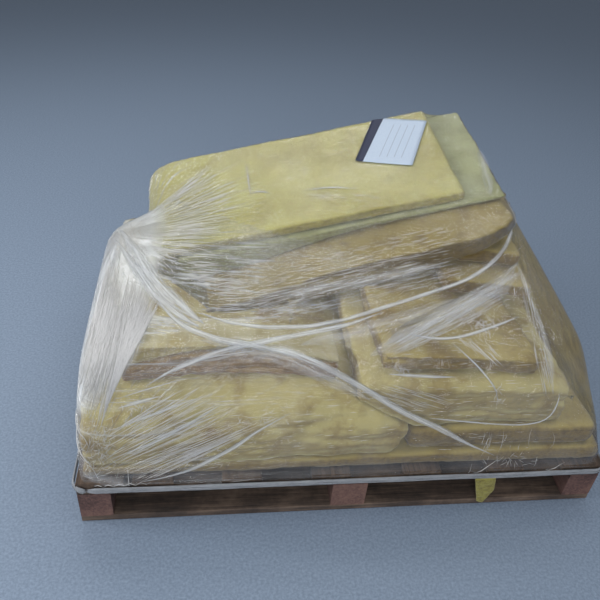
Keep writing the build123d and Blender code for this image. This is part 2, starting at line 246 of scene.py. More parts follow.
lemon_wool = wool("glass wool, lemon", "#ADA856", "#9C9546", "#695A1E", BUNDLE_UP, edge_from=0.7,
                  mottle_mm=120)
green_wool = wool("glass wool, greenish", "#A3A678", "#8B8E5E", "#66633A", BUNDLE_UP)
golden_wool = wool("glass wool, golden", "#8C7B3A", "#6C5822", "#4A3916", BUNDLE_UP, mottle=0.9,
                   mottle_mm=60)
pale_wool = wool("glass wool, pale", "#BBAE70", "#846A2A", "#66501D", edge_from=0.15, mottle_mm=75,
                 mottle=0.9)
cream_wool = wool("glass wool, cream", "#BDB48A", "#A19259", "#7C6936", edge_from=0.5, mottle=0.6)
ochre_wool = wool("glass wool, ochre", "#A89754", "#7F6930", "#57431E", edge_from=0.6, mottle=0.7)
torn_wool = wool("glass wool, torn", "#9C7F42", "#80602D", "#4E3518", edge_from=0.75, mottle=0.9)

# %% [markdown]
# ## Slabs
# A slab is soft and a little lumpy, and its edges are torn rather than sharp. Each one starts as
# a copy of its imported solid, which has the right size and place. A voxel remesh gives it an even
# skin and a smoothing rounds it like a pillow. Two cloud textures then push that skin in and out,
# and on the cut edges the layers are pulled in between each other.

# %% Make the soft slabs
lumps = bpy.data.textures.new("lumps", "CLOUDS")
lumps.noise_scale = 0.13
tears = bpy.data.textures.new("tears", "CLOUDS")
tears.noise_scale = 0.022
tears.noise_depth = 3
LAYER_MM = 17
LAYER_WANDER_MM = 140
LAYER_PULL = 2.5
EDGE_LEAN = 0.2
WELD_MM = 0.01
ROUNDING_STEPS = 14
# More of a push goes inwards than outwards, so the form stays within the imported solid's outline
SINK_SHARE = 0.62


def open_layers(piece, up, depth_mm):
    """Pulls the skin in between the layers, where it is a cut edge."""
    skin = piece.data.vertices
    places, normals = np.empty(3 * len(skin)), np.empty(3 * len(skin))
    skin.foreach_get("co", places)
    skin.foreach_get("normal", normals)
    places, normals = places.reshape(-1, 3), normals.reshape(-1, 3)
    edge = np.clip(1 - abs(normals @ np.array(up)) - EDGE_LEAN, 0, 1)
    spots = places / (LAYER_WANDER_MM * MM)
    spots[:, 2] = places @ np.array(up) / (LAYER_MM * MM)
    gaps = np.array([max(0, noise.noise(spot)) for spot in spots])
    places -= normals * (gaps * edge * LAYER_PULL * depth_mm * MM)[:, None]
    skin.foreach_set("co", places.ravel())
    piece.data.update()


def soft_slab(node, material, voxel_mm, lump_mm, tear_mm, layer_mm):
    """A slab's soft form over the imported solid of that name."""
    piece = twin_of("wool_" + node, [parts[node]])
    bpy.ops.object.mode_set(mode="EDIT")
    bpy.ops.mesh.select_all(action="SELECT")
    bpy.ops.mesh.remove_doubles(threshold=WELD_MM * MM)
    bpy.ops.object.mode_set(mode="OBJECT")
    remesh = piece.modifiers.new("even skin", "REMESH")
    remesh.mode = "VOXEL"
    remesh.voxel_size = voxel_mm * MM
    rounded = piece.modifiers.new("rounded", "SMOOTH")
    rounded.factor = 0.5
    rounded.iterations = ROUNDING_STEPS
    for texture, depth in ((lumps, lump_mm), (tears, tear_mm)):
        push = piece.modifiers.new("push", "DISPLACE")
        push.texture = texture
        push.strength = depth * MM
        push.mid_level = SINK_SHARE
    apply_all(piece)
    open_layers(piece, BUNDLE_UP if node in BUNDLE else (0, 0, 1), layer_mm)
    finish(piece, material, node)
    return piece


BUNDLE = ("slab_top", "slab_bundle_second", "slab_bundle_folded")
# The material, then the voxel size and the depth of lumps, tears and open layers in millimetres
SLABS = {
    "slab_bottom": (ochre_wool, 8, 8, 4, 6),
    "slab_right_second": (ochre_wool, 8, 9, 5, 8),
    "slab_front_draped": (pale_wool, 6, 16, 4, 3),
    "slab_left_second": (ochre_wool, 9, 5, 3, 0),
    "slab_left_third": (ochre_wool, 9, 5, 3, 0),
    "slab_left_back": (cream_wool, 9, 8, 3, 3),
    "slab_left_torn": (torn_wool, 5, 8, 10, 14),
    "slab_left_offcut": (cream_wool, 5, 7, 5, 8),
    "slab_right_folded": (pale_wool, 7, 18, 5, 4),
    "slab_right_upper": (ochre_wool, 6, 18, 7, 12),
    "slab_top": (lemon_wool, 5, 5, 3, 3),
    "slab_bundle_second": (green_wool, 5, 7, 4, 4),
    "slab_bundle_folded": (golden_wool, 6, 16, 8, 12),
    "slab_prop_left": (ochre_wool, 8, 9, 4, 6),
    "slab_prop_right_first": (ochre_wool, 7, 10, 5, 8),
    "slab_prop_right_second": (ochre_wool, 7, 10, 5, 8),
    "slab_prop_right_third": (ochre_wool, 7, 10, 5, 8),
    "wool_scrap": (lemon_wool, 1.5, 1, 2, 0),
}
slabs = {node: soft_slab(node, *look_of) for node, look_of in SLABS.items()}

# %% [markdown]
# ## Pallet wood
# The boards are sawn softwood that has stood outdoors: grey-brown, with darker grain lines,
# rough saw marks and dirt in the grain. The blocks are redder. The grain runs along each board,
# so the pattern is stretched along that board's long way.

# %% Wood material
GRAIN_PULL = 0.05


def wood(name, light, mid, dark, grain_way):
    """Weathered sawn softwood with its grain along X or Y."""
    material, tree, place, output = new_material(name)
    stretch = [1, 1, 1]
    stretch["XYZ".index(grain_way)] = GRAIN_PULL
    pulled = add(tree, "VectorMath", {0: place, 1: stretch}, operation="MULTIPLY").outputs[0]
    grain = clouds(tree, pulled, 7, 6, 0.65, 0.8)
    stain = clouds(tree, place, 110, 3)
    dirt = clouds(tree, place, 16, 5, 0.7)
    specks = maths(tree, "MULTIPLY", dirt, 0.16)
    both = maths(tree, "MULTIPLY_ADD", maths(tree, "ADD", grain, stain), 0.42, specks)
    colour = ramp(tree, both, (0.36, dark), (0.49, mid), (0.62, light))
    bump = add(tree, "Bump", {"Height": grain, "Strength": 0.8, "Distance": 1.4 * MM}).outputs["Normal"]
    shader = add(tree, "BsdfPrincipled", {"Base Color": colour, "Roughness": 0.85, "Normal": bump})
    tree.links.new(shader.outputs[0], output.inputs["Surface"])
    return material


long_wood = wood("sawn softwood, grain along X", "#7C6A5C", "#54473F", "#2C2725", "X")
cross_wood = wood("sawn softwood, grain along Y", "#7E6B5A", "#57483D", "#2E2725", "Y")
block_wood = wood("softwood block", "#85665A", "#664C47", "#382B28", "Y")
for node, part in parts.items():
    if node.startswith(("bottom_board", "stringer_board", "deck_board", "block")):
        part.data.materials.clear()
        if node.startswith("deck_board"):
            part.data.materials.append(cross_wood)
        elif node.startswith("block"):
            part.data.materials.append(block_wood)
        else:
            part.data.materials.append(long_wood)

# %% [markdown]
# ## Stretch film
# Stretch film is clear polyethylene, a few hundredths of a millimetre thick, pulled tight round
# the load in several layers. It bridges every hollow. Each sheet starts as the tight hull of what
# it wraps. It is then smoothed again and again, and after each time pushed out of the wool, until
# it spans the hollows like the real film.

# %% Shape the film sheets
def hull_of(name, objects, voxel_mm, trims=()):
    """The tight hull of some objects, trimmed by some planes, with an even skin."""
    hull = twin_of(name, objects)
    bpy.ops.object.mode_set(mode="EDIT")
    bpy.ops.mesh.select_all(action="SELECT")
    bpy.ops.mesh.convex_hull()
    for point, normal in trims:
        bpy.ops.mesh.select_all(action="SELECT")
        bpy.ops.mesh.bisect(plane_co=point, plane_no=normal, use_fill=True, clear_outer=True)
    bpy.ops.object.mode_set(mode="OBJECT")
    remesh = hull.modifiers.new("even skin", "REMESH")
    remesh.mode = "VOXEL"
    remesh.voxel_size = voxel_mm * MM
    apply_all(hull)
    return hull


def cut(piece, point, normal):
    """Cuts away what lies on the normal's side of a plane."""
    only(piece)
    bpy.ops.object.mode_set(mode="EDIT")
    bpy.ops.mesh.select_all(action="SELECT")
    bpy.ops.mesh.bisect(plane_co=point, plane_no=normal, clear_outer=True)
    bpy.ops.object.mode_set(mode="OBJECT")


def surface_of(*objects):
    """A tree that finds the nearest place on some objects."""
    both = twin_of("both", objects)
    tree = BVHTree.FromObject(both, bpy.context.evaluated_depsgraph_get())
    bpy.data.objects.remove(both)
    return tree


def fit_round(sheet, inner, reach, gap_mm):
    """Opens a sheet where another piece passes through it, and pulls the rim onto that piece.

    The reach is more than half that piece's thickness, and less than its distance from the rest.
    """
    tree = surface_of(inner)
    mesh = bmesh.new()
    mesh.from_mesh(sheet.data)
    inside = []
    for face in mesh.faces:
        middle = face.calc_center_median()
        near, normal, _, gap = tree.find_nearest(middle)
        if gap < reach and (middle - near).dot(normal) < 0:
            inside.append(face)
    bmesh.ops.delete(mesh, geom=inside, context="FACES")
    for vertex in mesh.verts:
        if vertex.is_boundary:
            near, normal, _, _ = tree.find_nearest(vertex.co)
            vertex.co = near + normal * (gap_mm * MM)
    mesh.to_mesh(sheet.data)
    mesh.free()


def draw_tight(sheet, objects, rounds, smooths, gap_mm):
    """Smooths a sheet and pushes it out of the load, again and again, with its rims held."""
    solid = twin_of("solid", objects)
    free = sheet.vertex_groups.new(name="free")
    mesh = bmesh.new()
    mesh.from_mesh(sheet.data)
    held = [v.index for v in mesh.verts if v.is_boundary]
    mesh.free()
    free.add(range(len(sheet.data.vertices)), 1, "REPLACE")
    free.remove(held)
    for _ in range(rounds):
        smooth = sheet.modifiers.new("smooth", "SMOOTH")
        smooth.factor = 0.5
        smooth.iterations = smooths
        smooth.vertex_group = "free"
        out = sheet.modifiers.new("out", "SHRINKWRAP")
        out.target = solid
        out.wrap_method = "NEAREST_SURFACEPOINT"
        out.wrap_mode = "OUTSIDE"
        out.offset = gap_mm * MM
        apply_all(sheet)
    bpy.data.objects.remove(solid)


# The neck where the bundle's film is gathered, the film's lower edge, and the slope at the back left
NECK_PLACE = Vector((-0.47, 0.10, 0.37))
NECK_AWAY = Vector((-0.8, -0.25, -0.55)).normalized()
FILM_FOOT = 0.104
LOAD_SHARE = 0.975
BACK_LEFT_TRIM = (Vector((-0.505, 0.1, 0.49)), Vector((-0.45, 0.45, 0.77)))

bundle_slabs = [slabs[n] for n in BUNDLE]
pile_slabs = [s for n, s in slabs.items() if n not in BUNDLE and n != "wool_scrap"]
deck = [p for n, p in parts.items() if n.startswith("deck_board")]

bundle_film = hull_of("film_bundle", bundle_slabs, voxel_mm=7)
cut(bundle_film, NECK_PLACE, NECK_AWAY)
draw_tight(bundle_film, bundle_slabs, rounds=12, smooths=7, gap_mm=1.5)
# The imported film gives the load's wrap its shoulders, drawn in a little round the wool
form = twin_of("form", [parts["film_load_wrap"]])
for vertex in form.data.vertices:
    vertex.co.x *= LOAD_SHARE
    vertex.co.y *= LOAD_SHARE
load_film = hull_of("film_load", [form, *deck], voxel_mm=9, trims=[BACK_LEFT_TRIM])
bpy.data.objects.remove(form)
fit_round(load_film, bundle_film, reach=0.15, gap_mm=3)
cut(load_film, Vector((0, 0, FILM_FOOT)), Vector((0, 0, -1)))
deck_block = hull_of("deck_block", deck, voxel_mm=12)
draw_tight(load_film, [*pile_slabs, bundle_film, deck_block], rounds=24, smooths=5, gap_mm=2.5)
bpy.data.objects.remove(deck_block)


def area_of(piece):
    """A mesh's whole area in square metres."""
    return sum(face.area for face in piece.data.polygons)


# One turn round the pallet, and the width of the film round the bundle
print("film area", round(area_of(bundle_film), 3), round(area_of(load_film), 3))

# %% [markdown]
# The film is clear, with a faint haze from its many layers. Where it is pulled together it turns
# milky, in streaks that fan out from the gathered neck. These white streaks are also a painted
# highlight for the glints along the film's wrinkles. Film shows most by its reflections, and
# fine crinkles break these into glints. A clear sheet of several layers mirrors more than one
# sheet does, so its index of refraction is set a little higher than polyethylene's 1.5.

# %% Film material
STREAKS_ROUND = 34
STREAKS_ALONG = 5
VEIL_EDGE = 0.03
VEIL_MILK = 0.7
MOST_MILKY = 0.85
FILM_INDEX = 1.65


def fan_streaks_and_glints(tree, place, point, across, reach, strength):
    """Milky white streaks that run out from a point, and fade with the distance. Their white is also
    a painted highlight for the glints along the wrinkles.
    """
    from_point = add(tree, "VectorMath", {0: place, 1: point}, operation="SUBTRACT").outputs[0]
    sides = add(tree, "SeparateXYZ", {"Vector": from_point}).outputs
    angle = maths(tree, "ARCTAN2", sides[across[0]], sides[across[1]])
    far = add(tree, "VectorMath", {0: from_point}, operation="LENGTH").outputs["Value"]
    fan_place = add(tree, "CombineXYZ", {"X": maths(tree, "MULTIPLY", angle, STREAKS_ROUND),
                                         "Y": maths(tree, "MULTIPLY", far, STREAKS_ALONG)}).outputs[0]
    lines = add(tree, "TexNoise", {"Vector": fan_place, "Scale": 1, "Detail": 5,
                                   "Roughness": 0.75}).outputs["Fac"]
    sharp = add(tree, "MapRange", {"Value": lines, "From Min": 0.5, "From Max": 0.66}).outputs["Result"]
    near = add(tree, "MapRange", {"Value": far, "From Min": reach, "From Max": reach * 0.3,
                                  "To Max": strength}).outputs["Result"]
    return maths(tree, "MULTIPLY", sharp, near)


def film(name, haze, fans, veil=None):
    """Clear stretch film with milky fans of pleats, whose white is also a painted highlight for their
    glints, and sharp glints from its gloss.

    A veil is a plane, and the film on its normal's side is milky all over.
    """
    material, tree, place, output = new_material(name)
    crinkle = clouds(tree, place, 38, 6, 0.62, 0.9)
    # Fans of white streaks: milky film, and a painted highlight where the wrinkles glint
    streaks_and_glints = 0.0
    for fan in fans:
        streaks_and_glints = maths(tree, "MAXIMUM", fan_streaks_and_glints(tree, place, *fan), streaks_and_glints)
    patches = add(tree, "MapRange", {"Value": clouds(tree, place, 130, 4, 0.6, 0.5), "From Min": 0.42,
                                     "From Max": 0.7, "To Max": 2 * haze}).outputs["Result"]
    milk_and_glints = maths(tree, "ADD", streaks_and_glints, maths(tree, "ADD", patches, haze))
    if veil:
        point, normal = veil
        from_plane = add(tree, "VectorMath", {0: place, 1: point}, operation="SUBTRACT").outputs[0]
        side = add(tree, "VectorMath", {0: from_plane, 1: normal}, operation="DOT_PRODUCT").outputs["Value"]
        veiled = add(tree, "MapRange", {"Value": side, "From Min": 0.0, "From Max": VEIL_EDGE,
                                        "To Max": VEIL_MILK}).outputs["Result"]
        milk_and_glints = maths(tree, "ADD", milk_and_glints, veiled)
    milk_and_glints = add(tree, "Clamp", {"Value": milk_and_glints, "Max": MOST_MILKY}).outputs[0]
    height = maths(tree, "MULTIPLY_ADD", streaks_and_glints, 1.2, crinkle)
    bump = add(tree, "Bump", {"Height": height, "Strength": 1.0, "Distance": 6 * MM}).outputs["Normal"]
    clear = add(tree, "BsdfTransparent", {"Color": (0.97, 0.97, 0.965, 1)})
    white = add(tree, "BsdfPrincipled", {"Base Color": linear("#F8FCFF"), "Roughness": 0.4,
                                         "Normal": bump})
    body = add(tree, "MixShader", {"Fac": milk_and_glints, 1: clear.outputs[0], 2: white.outputs[0]})
    gloss = add(tree, "BsdfGlossy", {"Color": (1, 1, 1, 1), "Roughness": 0.05, "Normal": bump})
    edge_on = add(tree, "Fresnel", {"IOR": FILM_INDEX}).outputs[0]
    both = add(tree, "MixShader", {"Fac": edge_on, 1: body.outputs[0], 2: gloss.outputs[0]})
    tree.links.new(both.outputs[0], output.inputs["Surface"])
    return material


# %% Find places on the film by their place in the photograph
film_tree = surface_of(bundle_film, load_film)


def on_film(pixel):
    """The place and the normal where the film shows at a pixel, or None."""
    place, normal, _, _ = film_tree.ray_cast(CAMERA_PLACE, sight(pixel))
    if place is None:
        return None
    return place, normal if normal.dot(place - CAMERA_PLACE) < 0 else -normal


VEIL_PIXELS = ((158, 300), (84, 420))
veil_top, veil_foot = (on_film(p)[0] for p in VEIL_PIXELS)
veil_side = (veil_foot - veil_top).cross(Vector((0, 1, 0))).normalized()
if veil_side.x > 0:
    veil_side.negate()
print("veil from", [round(v, 3) for v in veil_top], "facing", [round(v, 2) for v in veil_side])

bundle_clear = film("stretch film, bundle", 0.035, [((-0.50, 0.10, 0.40), (1, 2), 0.42, 0.7)])
load_clear = film("stretch film, load", 0.03, [
    ((-0.53, 0.08, 0.46), (1, 2), 0.7, 0.75),
    ((-0.60, -0.45, 0.13), (0, 2), 0.55, 0.5),
], (veil_top, veil_side))
finish(bundle_film, bundle_clear, "film_bundle_wrap")
finish(load_film, load_clear, "film_load_wrap")
# Thin film takes hardly any light from the wool under it
for sheet in (bundle_film, load_film):
    sheet.visible_shadow = False
    sheet.visible_diffuse = False

# %% [markdown]
# ## Pleats, painted glints and gathered film
# The film's sharpest marks are thin raised pleats, and bands where its edge is gathered into a
# rope. Each one is a slim strip that lies on the film, with a small ridge or several, and runs
# out at both ends. Its route is given by places in the photograph, found on the film, so that the
# strip follows the film's own shape. The strips are white, so many of them are painted glints and
# sparkles: a painted highlight where the real film catches the light.

# %% Build strips on the film
class Strips:
    """Many strips in one mesh, with length and width kept as a UV map."""

    def __init__(self):
        self.places, self.faces, self.uvs = [], [], []

    def add(self, places, normals, width, height, ridges=1, taper=0.25):
        """Adds one strip along a route, with ridges across it and slim ends."""
        steps = 2 * ridges + 1
        first = len(self.places)
        last = len(places) - 1
        far = 0.0
        for i, (place, normal) in enumerate(zip(places, normals)):
            ahead = (places[min(i + 1, last)] - places[max(i - 1, 0)]).normalized()
            side = normal.cross(ahead).normalized()
            share = i / last
            full = min(1, share / taper + 0.06, (1 - share) / taper + 0.06)
            if i:
                far += (place - places[i - 1]).length
            for j in range(steps):
                v = 2 * j / (steps - 1) - 1
                crest = 1 if j % 2 else 0.35 * (1 - v * v)
                rise = height * crest * full * (1 - 0.5 * v * v)
                self.places.append(place + side * (v * width / 2 * full) + normal * rise)
                self.uvs.append((far, (v + 1) / 2))
        for i in range(last):
            for j in range(steps):
                a, b = first + i * steps + j, first + i * steps + (j + 1) % steps
                self.faces.append((a, b, b + steps, a + steps))
        self.faces.append(tuple(first + j for j in reversed(range(steps))))
        self.faces.append(tuple(first + last * steps + j for j in range(steps)))

    def piece(self, name, material):
        """The strips as one piece."""
        mesh = bpy.data.meshes.new(name)
        mesh.from_pydata(self.places, [], self.faces)
        uv = mesh.uv_layers.new(name="along")
        ends = [c for corner in mesh.loops for c in self.uvs[corner.vertex_index]]
        uv.data.foreach_set("uv", ends)
        made = bpy.data.objects.new(name, mesh)
        bpy.context.scene.collection.objects.link(made)
        only(made)
        bpy.ops.object.mode_set(mode="EDIT")
        bpy.ops.mesh.select_all(action="SELECT")
        bpy.ops.mesh.normals_make_consistent(inside=False)
        bpy.ops.object.mode_set(mode="OBJECT")
        finish(made, material)
        return made


# %% Lay strips by pixels
LIFT_MM = 0.6
JUMP_MM = 55
NEAR_MM = 12
BRIDGE_ROUNDS = 3
COMB_PLACES = 200
COMB_DRIFT = 6
FINE_TAPER = 0.4
dice = random.Random(11)


def spread(pixels, count):
    """Points evenly spread along a route through some pixels."""
    route = np.array(pixels, float)
    far = np.concatenate([[0], np.cumsum(np.linalg.norm(np.diff(route, axis=0), axis=1))])
    steps = np.linspace(0, far[-1], count)
    return np.stack([np.interp(steps, far, route[:, k]) for k in (0, 1)], axis=1)


def lay(strips, pixels, width_mm, height_mm, ridges=1, taper=0.25, step_px=5, bridges=False):
    """Lays a strip on the film along a route of pixels."""
    length = sum(math.dist(a, b) for a, b in zip(pixels, pixels[1:]))
    found = [on_film(p) for p in spread(pixels, max(4, int(length / step_px)))]
    found = [f for f in found if f]
    if len(found) < 4:
        return
    places = [f[0] for f in found]
    if not bridges and max((b - a).length for a, b in zip(places, places[1:])) > JUMP_MM * MM:
        return
    for _ in range(BRIDGE_ROUNDS if bridges else 1):
        inner = [(a + 2 * b + c) / 4 for a, b, c in zip(places, places[1:], places[2:])]
        places = [places[0], *inner, places[-1]]
    normals = []
    for i, place in enumerate(places):
        near, normal, _, gap = film_tree.find_nearest(place)
        if normal.dot(near - CAMERA_PLACE) > 0:
            normal.negate()
        if gap < NEAR_MM * MM:
            places[i] = near + normal * (LIFT_MM * MM)
        normals.append(normal)
    strips.add(places, normals, width_mm * MM, height_mm * MM, ridges, taper)


def comb(strips, starts, ends, count, shares, widths, bow_px=2.0):
    """Lays many fine pleats between two routes of pixels. They are white, so they also serve as
    painted glints.
    """
    starts, ends = spread(starts, COMB_PLACES), spread(ends, COMB_PLACES)
    for _ in range(count):
        i = dice.randrange(COMB_PLACES)
        a, b = starts[i], ends[min(COMB_PLACES - 1, max(0, i + int(dice.gauss(0, COMB_DRIFT))))]
        share = dice.uniform(*shares)
        from_share = dice.uniform(0, 1 - share)
        low, high = a + (b - a) * from_share, a + (b - a) * (from_share + share)
        middle = (low + high) / 2 + np.array([dice.gauss(0, bow_px), dice.gauss(0, bow_px)]) * share
        width = dice.uniform(*widths)
        lay(strips, [low, middle, high], width, 0.6 * width, 1, FINE_TAPER)


def crumple(strips, pixel, radii, count, widths):
    """Lays short crossing pleats, where the film is crushed together, and as painted glints where it
    sparkles.
    """
    for _ in range(count):
        turned = dice.uniform(0, math.pi)
        half = dice.uniform(2.2, 5)
        way = np.array([math.cos(turned), math.sin(turned)]) * half
        middle = np.array(pixel) + [dice.gauss(0, radii[0] / 2), dice.gauss(0, radii[1] / 2)]
        width = dice.uniform(*widths)
        lay(strips, [middle - way, middle + way], width, 0.7 * width, 1, FINE_TAPER, 3)


# %% Pleats and painted glints
# A comb has two routes in pixels, a count, the share of the way that a pleat covers, its width in
# millimetres and how far it bows in pixels
pleats_and_glints = Strips()
# The milky fan down the left side, and the fan of pleats and painted glints on the top slab's
# bent end
comb(pleats_and_glints, [(110, 256), (126, 264), (145, 277), (162, 298)],
     [(74, 396), (86, 424), (100, 430), (120, 374)], 620, (0.1, 0.8), (1.0, 2.0), 3)
comb(pleats_and_glints, [(150, 212), (145, 226), (143, 238), (148, 250)],
     [(212, 162), (248, 180), (250, 214), (184, 262)], 200, (0.1, 0.75), (0.8, 1.8))
# Wrinkles on the second slab's folded end and on the golden slab, whose white is also a painted
# sheen on the crinkles
comb(pleats_and_glints, [(178, 253), (180, 262), (184, 273), (192, 284)],
     [(226, 256), (226, 263), (224, 271), (214, 280)], 34, (0.3, 0.95), (1.0, 1.7), 3)
comb(pleats_and_glints, [(203, 280), (205, 292), (208, 303), (214, 313)],
     [(254, 276), (258, 290), (258, 302), (250, 311)], 34, (0.25, 0.9), (1.0, 1.8), 3)
comb(pleats_and_glints, [(235, 296), (262, 326)], [(450, 246), (470, 276)], 240, (0.03, 0.14), (0.7, 1.3), 1)
comb(pleats_and_glints, [(250, 270), (252, 292)], [(455, 222), (460, 246)], 90, (0.02, 0.1), (0.6, 1.1), 2)
# Slanting pleats on the draped slab, white as a painted highlight for their glints
comb(pleats_and_glints, [(98, 440), (106, 458), (118, 474), (142, 484)],
     [(196, 378), (224, 400), (250, 422), (290, 414)], 170, (0.08, 0.6), (0.8, 1.9))
# Right side: pleats, and painted glints as white lines
comb(pleats_and_glints, [(452, 334), (484, 340)], [(490, 366), (512, 370)], 14, (0.4, 0.9), (1.0, 1.6))
comb(pleats_and_glints, [(382, 378), (372, 396)], [(468, 404), (430, 414)], 26, (0.15, 0.6), (0.8, 1.4))
comb(pleats_and_glints, [(480, 430), (560, 424)], [(470, 456), (556, 450)], 12, (0.2, 0.9), (0.6, 1.2), 7)
comb(pleats_and_glints, [(517, 262), (530, 286)], [(544, 404), (556, 388)], 46, (0.06, 0.35), (0.6, 1.2))
comb(pleats_and_glints, [(382, 350), (392, 358)], [(500, 280), (516, 300)], 110, (0.06, 0.5), (0.6, 1.2), 4)
# Painted glints: white flecks all over the draped slab and the slabs on the right
comb(pleats_and_glints, [(110, 390), (130, 480)], [(400, 386), (400, 440)], 120, (0.012, 0.06), (0.6, 1.1), 9)
comb(pleats_and_glints, [(400, 330), (400, 450)], [(545, 320), (560, 450)], 110, (0.015, 0.09), (0.6, 1.1), 9)
# Glints over the top slab and along its front edge
comb(pleats_and_glints, [(300, 188), (302, 200)], [(392, 194), (392, 202)], 18, (0.06, 0.3), (0.7, 1.3), 1)
comb(pleats_and_glints, [(235, 160), (245, 200)], [(440, 120), (440, 180)], 26, (0.03, 0.1), (0.7, 1.2), 4)
# Knots of crossing pleats: crushed film at the neck, and painted glints where the film sparkles
# A knot has its pixel, its reach in pixels and a count
for knot in (((126, 242), (16, 18), 260), ((98, 448), (24, 30), 150), ((483, 324), (18, 8), 60),
             ((400, 370), (8, 4), 16), ((512, 460), (26, 6), 26), ((498, 396), (6, 12), 14),
             ((140, 408), (16, 6), 24), ((190, 456), (30, 16), 30), ((270, 416), (30, 12), 26)):
    crumple(pleats_and_glints, *knot, (0.6, 1.3))
print("pleat faces", len(pleats_and_glints.faces))

# %% Gathered bands
# A band has its route in pixels, its width and height in millimetres, its ridges, and the share of
# its length over which each end runs out
bands = Strips()
for route, width, height, ridges, taper in (
    # The rope from the neck round the golden slab's front and its right end
    (((118, 228), (127, 238), (136, 254), (146, 271), (157, 286), (172, 300), (187, 312), (204, 324)),
     42, 7, 7, 0.3),
    (((116, 240), (126, 254), (140, 276), (156, 298), (176, 314), (200, 328)), 26, 5, 5, 0.3),
    (((196, 312), (225, 322), (266, 328), (310, 327), (345, 320), (390, 306), (440, 290), (472, 278),
      (492, 264), (507, 246), (514, 224), (512, 204), (500, 190)), 12, 4, 3, 0.1),
    # Crossing ropes
    (((152, 291), (166, 312), (185, 328), (217, 340), (250, 345), (290, 352), (325, 366), (360, 386),
      (407, 414), (440, 428), (468, 444), (494, 455)), 16, 4, 4, 0.15),
    (((146, 386), (166, 373), (203, 357), (245, 345), (300, 335), (345, 326), (384, 312)), 14, 4, 4, 0.2),
    (((176, 366), (215, 356), (255, 351)), 6, 2, 2, 0.4),
    (((407, 334), (436, 340), (463, 337), (497, 326), (520, 316)), 9, 3, 2, 0.2),
    # Strong slanting pleats on the draped slab, whose white also paints their glints
    (((140, 482), (166, 477), (189, 470), (212, 459), (236, 446), (257, 431), (290, 413)), 12, 4, 3, 0.4),
    (((106, 461), (136, 449), (166, 437), (198, 418), (224, 403)), 8, 3, 2, 0.4),
    (((110, 431), (155, 413), (203, 396)), 8, 3, 2, 0.4),
    (((127, 449), (155, 438), (185, 426), (220, 411)), 6, 2, 2, 0.4),
    (((118, 408), (138, 402), (160, 396)), 11, 2, 3, 0.4),
    (((113, 400), (150, 388), (190, 377)), 4, 2, 1, 0.4),
    # Glints on the top slab
    (((246, 162), (248, 178), (251, 197)), 7, 2, 1, 0.4),
    (((249, 194), (262, 187), (272, 194)), 9, 2, 1, 0.4),
    (((300, 191), (330, 187), (358, 189)), 8, 2, 1, 0.4),
    # The wrap's lower edge on the right, with the folds above it
    (((560, 392), (557, 408), (546, 421), (523, 425), (497, 424), (473, 422), (430, 418)), 6, 2, 1, 0.1),
    (((452, 343), (480, 368), (499, 392), (497, 404)), 6, 2, 2, 0.4),
    (((388, 374), (420, 376), (456, 377)), 9, 2, 3, 0.3),
):
    lay(bands, route, width, height, ridges, taper, 6, bridges=True)
faint = Strips()
for route, width, ridges in (
    # The wide loose band on the right, and folds that cross the load
    (((370, 356), (407, 337), (436, 322), (472, 304), (496, 290), (520, 272)), 60, 9),
    (((384, 345), (412, 330), (440, 316), (476, 298), (500, 284), (518, 262)), 44, 7),
    (((200, 340), (240, 348), (290, 360), (330, 378), (370, 400)), 36, 7),
    (((300, 345), (340, 336), (380, 326), (420, 314), (460, 298)), 40, 7),
    (((516, 262), (528, 292), (540, 326), (550, 362), (553, 396)), 18, 4),
    (((470, 122), (478, 146), (486, 172), (490, 196)), 30, 5),
    (((76, 470), (100, 478), (140, 488), (200, 487), (300, 484)), 34, 5),
    (((252, 298), (300, 292), (350, 284), (400, 274), (450, 262)), 34, 7),
):
    lay(faint, route, width, 3, ridges, 0.2, 6, bridges=True)
print("band faces", len(bands.faces), len(faint.faces))

# %% Pleats on the sides that the photograph doesn't show
def crawl(strips, start, way, count, step, width_mm):
    """Lays a pleat from a place on the film, by small steps along it."""
    places, normals = [], []
    place = start
    for _ in range(count):
        near, normal, _, _ = film_tree.find_nearest(place)
        if normal.dot(near - Vector((0, 0, 0.3))) < 0:
            normal.negate()
        places.append(near + normal * (LIFT_MM * MM))
        normals.append(normal)
        place = near + (way - normal * way.dot(normal)).normalized() * step
    strips.add(places, normals, width_mm * MM, 0.6 * width_mm * MM, 1, FINE_TAPER)


HIDDEN_PLEATS = 320
CRAWL_STEP = 0.014
faces = [f for f in load_film.data.polygons if f.normal.dot(f.center - CAMERA_PLACE) > 0.1]
for _ in range(HIDDEN_PLEATS):
    face = dice.choice(faces)
    level = Vector((0, 0, 1)).cross(face.normal)
    way = (level + Vector((0, 0, dice.gauss(0.1, 0.22)))).normalized()
    crawl(pleats_and_glints, face.center.copy(), way, dice.randrange(6, 16), CRAWL_STEP, dice.uniform(1.4, 3.2))

# %% [markdown]
# The film's foot is gathered into a loose rope that runs round the deck. It gets the same strips,
# laid round the deck's edge in three strands that wander past each other.

# %% Deck rope
rope_low, rope_high = (Vector(v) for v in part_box("film_rope_deck"))
ROPE_THICK = rope_high.z - rope_low.z
CORNER = 0.03
SIDE_STEPS = 60
CORNER_STEPS = 6
# How far each strand rises, how much it wanders and how thick it is
STRANDS = ((0.0, 0.0, 1.0), (0.004, 0.35, 0.7), (-0.004, 0.6, 0.7))


